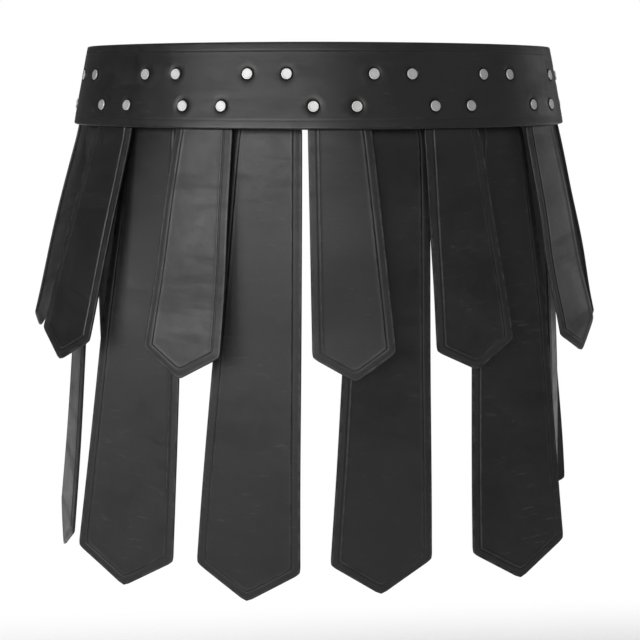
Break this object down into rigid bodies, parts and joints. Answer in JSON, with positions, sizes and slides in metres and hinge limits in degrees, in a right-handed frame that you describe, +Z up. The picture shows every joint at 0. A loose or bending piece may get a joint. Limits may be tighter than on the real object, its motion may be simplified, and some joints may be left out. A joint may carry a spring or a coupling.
{
  "type": "gladiator belt",
  "caption": "Black leather gladiator belt with two rows of hanging pointed straps riveted behind a sloped waist band, closed at the back by two buckles",
  "frame": {"origin": "middle of the waist opening at half the height of the band", "axes": "+Z up, -Y the front of the belt, +X to the right when the front is looked at"},
  "size_m": [0.5092, 0.3558, 0.4358],
  "materials": {
    "band_leather": "smooth black leather with a soft sheen, darker burnished edges and a creased line along each edge",
    "strap_leather": "smooth black leather with faint scuffs, a creased border line and burnished edges",
    "tie_leather": "smooth black leather",
    "rivet_nickel": "nickel plated, smooth, lightly scuffed",
    "buckle_nickel": "nickel plated round wire, lightly scuffed"
  },
  "bodies": {
    "belt": {"band": "band_leather", "short_root_1": "strap_leather", "short_root_2": "strap_leather", "short_root_3": "strap_leather", "short_root_4": "strap_leather", "short_root_5": "strap_leather", "short_root_6": "strap_leather", "short_root_7": "strap_leather", "short_root_8": "strap_leather", "short_root_9": "strap_leather", "long_root_1": "strap_leather", "long_root_2": "strap_leather", "long_root_3": "strap_leather", "long_root_4": "strap_leather", "long_root_5": "strap_leather", "long_root_6": "strap_leather", "long_root_7": "strap_leather", "long_root_8": "strap_leather", "short_rivet_caps": "rivet_nickel", "short_rivet_posts": "rivet_nickel", "long_rivet_caps": "rivet_nickel", "long_rivet_posts": "rivet_nickel", "upper_chape": "tie_leather", "lower_chape": "tie_leather", "upper_billet": "tie_leather", "lower_billet": "tie_leather", "closing_rivet_caps": "rivet_nickel", "closing_rivet_posts": "rivet_nickel"},
    "short_strap_1": {"short_strap_1": "strap_leather"},
    "short_strap_2": {"short_strap_2": "strap_leather"},
    "short_strap_3": {"short_strap_3": "strap_leather"},
    "short_strap_4": {"short_strap_4": "strap_leather"},
    "short_strap_5": {"short_strap_5": "strap_leather"},
    "short_strap_6": {"short_strap_6": "strap_leather"},
    "short_strap_7": {"short_strap_7": "strap_leather"},
    "short_strap_8": {"short_strap_8": "strap_leather"},
    "short_strap_9": {"short_strap_9": "strap_leather"},
    "long_strap_1": {"long_strap_1": "strap_leather"},
    "long_strap_2": {"long_strap_2": "strap_leather"},
    "long_strap_3": {"long_strap_3": "strap_leather"},
    "long_strap_4": {"long_strap_4": "strap_leather"},
    "long_strap_5": {"long_strap_5": "strap_leather"},
    "long_strap_6": {"long_strap_6": "strap_leather"},
    "long_strap_7": {"long_strap_7": "strap_leather"},
    "long_strap_8": {"long_strap_8": "strap_leather"},
    "upper_buckle": {"upper_buckle": "buckle_nickel"},
    "upper_roller": {"upper_roller": "buckle_nickel"},
    "upper_prong": {"upper_prong": "buckle_nickel"},
    "upper_keeper": {"upper_keeper": "tie_leather"},
    "lower_buckle": {"lower_buckle": "buckle_nickel"},
    "lower_roller": {"lower_roller": "buckle_nickel"},
    "lower_prong": {"lower_prong": "buckle_nickel"},
    "lower_keeper": {"lower_keeper": "tie_leather"}
  },
  "joints": [
    {"name": "short_strap_1_swing", "type": "hinge", "parent": "belt", "child": "short_strap_1", "pos_m": [-0.16737, 0.08908, -0.03395], "axis": [0.6961, 0.718, 0], "range_deg": [-7.5, 75], "stiffness_Nm_per_rad": 0.25, "springref_deg": 1.34},
    {"name": "short_strap_2_swing", "type": "hinge", "parent": "belt", "child": "short_strap_2", "pos_m": [-0.20812, 0.01162, -0.03395], "axis": [0.1046, 0.9945, 0], "range_deg": [-8, 75], "stiffness_Nm_per_rad": 0.25, "springref_deg": 1.59},
    {"name": "short_strap_3_swing", "type": "hinge", "parent": "belt", "child": "short_strap_3", "pos_m": [-0.17109, -0.08516, -0.03395], "axis": [-0.6793, 0.7339, 0], "range_deg": [-6.5, 75], "stiffness_Nm_per_rad": 0.25, "springref_deg": 1.79},
    {"name": "short_strap_4_swing", "type": "hinge", "parent": "belt", "child": "short_strap_4", "pos_m": [-0.09589, -0.13929, -0.03395], "axis": [-0.9115, 0.4113, 0], "range_deg": [-5, 75], "stiffness_Nm_per_rad": 0.25, "springref_deg": 1.04},
    {"name": "short_strap_5_swing", "type": "hinge", "parent": "belt", "child": "short_strap_5", "pos_m": [0.00656, -0.15983, -0.03395], "axis": [-0.9996, -0.0281, 0], "range_deg": [-2, 75], "stiffness_Nm_per_rad": 0.25, "springref_deg": 0.42},
    {"name": "short_strap_6_swing", "type": "hinge", "parent": "belt", "child": "short_strap_6", "pos_m": [0.09451, -0.13991, -0.03395], "axis": [-0.9141, -0.4054, 0], "range_deg": [-1, 75], "stiffness_Nm_per_rad": 0.25, "springref_deg": 0.42},
    {"name": "short_strap_7_swing", "type": "hinge", "parent": "belt", "child": "short_strap_7", "pos_m": [0.17811, -0.07722, -0.03395], "axis": [-0.6452, -0.764, 0], "range_deg": [-2, 75], "stiffness_Nm_per_rad": 0.25, "springref_deg": 1.29},
    {"name": "short_strap_8_swing", "type": "hinge", "parent": "belt", "child": "short_strap_8", "pos_m": [0.20867, 0.00349, -0.03395], "axis": [0.0314, -0.9995, 0], "range_deg": [-6, 75], "stiffness_Nm_per_rad": 0.25, "springref_deg": 1.24},
    {"name": "short_strap_9_swing", "type": "hinge", "parent": "belt", "child": "short_strap_9", "pos_m": [0.16737, 0.08908, -0.03395], "axis": [0.6961, -0.718, 0], "range_deg": [-7.5, 75], "stiffness_Nm_per_rad": 0.25, "springref_deg": 1.34},
    {"name": "long_strap_1_swing", "type": "hinge", "parent": "belt", "child": "long_strap_1", "pos_m": [-0.18831, 0.05051, -0.03395], "axis": [0.4865, 0.8737, 0], "range_deg": [-3, 14], "stiffness_Nm_per_rad": 0.25, "springref_deg": -1.03},
    {"name": "long_strap_2_swing", "type": "hinge", "parent": "belt", "child": "long_strap_2", "pos_m": [-0.1925, -0.04213, -0.03395], "axis": [-0.4057, 0.914, 0], "range_deg": [-5, 10], "stiffness_Nm_per_rad": 0.25, "springref_deg": 3.09},
    {"name": "long_strap_3_swing", "type": "hinge", "parent": "belt", "child": "long_strap_3", "pos_m": [-0.13568, -0.10732, -0.03395], "axis": [-0.7994, 0.6008, 0], "range_deg": [-5, 7], "stiffness_Nm_per_rad": 0.25, "springref_deg": 3.61},
    {"name": "long_strap_4_swing", "type": "hinge", "parent": "belt", "child": "long_strap_4", "pos_m": [-0.04798, -0.14747, -0.03395], "axis": [-0.9772, 0.2125, 0], "range_deg": [-5, 5], "stiffness_Nm_per_rad": 0.25, "springref_deg": 2.33},
    {"name": "long_strap_5_swing", "type": "hinge", "parent": "belt", "child": "long_strap_5", "pos_m": [0.04607, -0.14788, -0.03395], "axis": [-0.979, -0.204, 0], "range_deg": [-5, 1.5], "stiffness_Nm_per_rad": 0.25, "springref_deg": 1.13},
    {"name": "long_strap_6_swing", "type": "hinge", "parent": "belt", "child": "long_strap_6", "pos_m": [0.13956, -0.10434, -0.03395], "axis": [-0.7862, -0.618, 0], "range_deg": [-5, 2], "stiffness_Nm_per_rad": 0.25, "springref_deg": 3.4},
    {"name": "long_strap_7_swing", "type": "hinge", "parent": "belt", "child": "long_strap_7", "pos_m": [0.19325, -0.04038, -0.03395], "axis": [-0.3889, -0.9213, 0], "range_deg": [-5, 8], "stiffness_Nm_per_rad": 0.25, "springref_deg": 1.55},
    {"name": "long_strap_8_swing", "type": "hinge", "parent": "belt", "child": "long_strap_8", "pos_m": [0.1901, 0.04715, -0.03395], "axis": [0.4542, -0.8909, 0], "range_deg": [-5, 7], "stiffness_Nm_per_rad": 0.25, "springref_deg": 2.58},
    {"name": "upper_buckle_tilt", "type": "hinge", "parent": "belt", "child": "upper_buckle", "pos_m": [0.01778, 0.15451, 0.01534], "axis": [0.0168, 0.2158, -0.9763], "range_deg": [0, 1]},
    {"name": "upper_roller_spin", "type": "hinge", "parent": "upper_buckle", "child": "upper_roller", "pos_m": [-0.00777, 0.16108, 0.01636], "axis": [0.0168, 0.2158, -0.9763], "continuous": true},
    {"name": "upper_prong_lift", "type": "hinge", "parent": "upper_buckle", "child": "upper_prong", "pos_m": [0.01778, 0.15451, 0.01534], "axis": [0.0168, 0.2158, -0.9763], "range_deg": [0, 2]},
    {"name": "upper_keeper_slide", "type": "slide", "parent": "belt", "child": "upper_keeper", "axis": [-0.9882, 0.1531, 0], "range_m": [-0.002, 0.002]},
    {"name": "lower_buckle_tilt", "type": "hinge", "parent": "belt", "child": "lower_buckle", "pos_m": [0.01833, 0.16158, -0.01665], "axis": [0.0168, 0.2158, -0.9763], "range_deg": [0, 1]},
    {"name": "lower_roller_spin", "type": "hinge", "parent": "lower_buckle", "child": "lower_roller", "pos_m": [-0.00722, 0.16815, -0.01564], "axis": [0.0168, 0.2158, -0.9763], "continuous": true},
    {"name": "lower_prong_lift", "type": "hinge", "parent": "lower_buckle", "child": "lower_prong", "pos_m": [0.01833, 0.16158, -0.01665], "axis": [0.0168, 0.2158, -0.9763], "range_deg": [0, 2]},
    {"name": "lower_keeper_slide", "type": "slide", "parent": "belt", "child": "lower_keeper", "axis": [-0.9882, 0.1531, 0], "range_m": [-0.002, 0.002]}
  ]
}
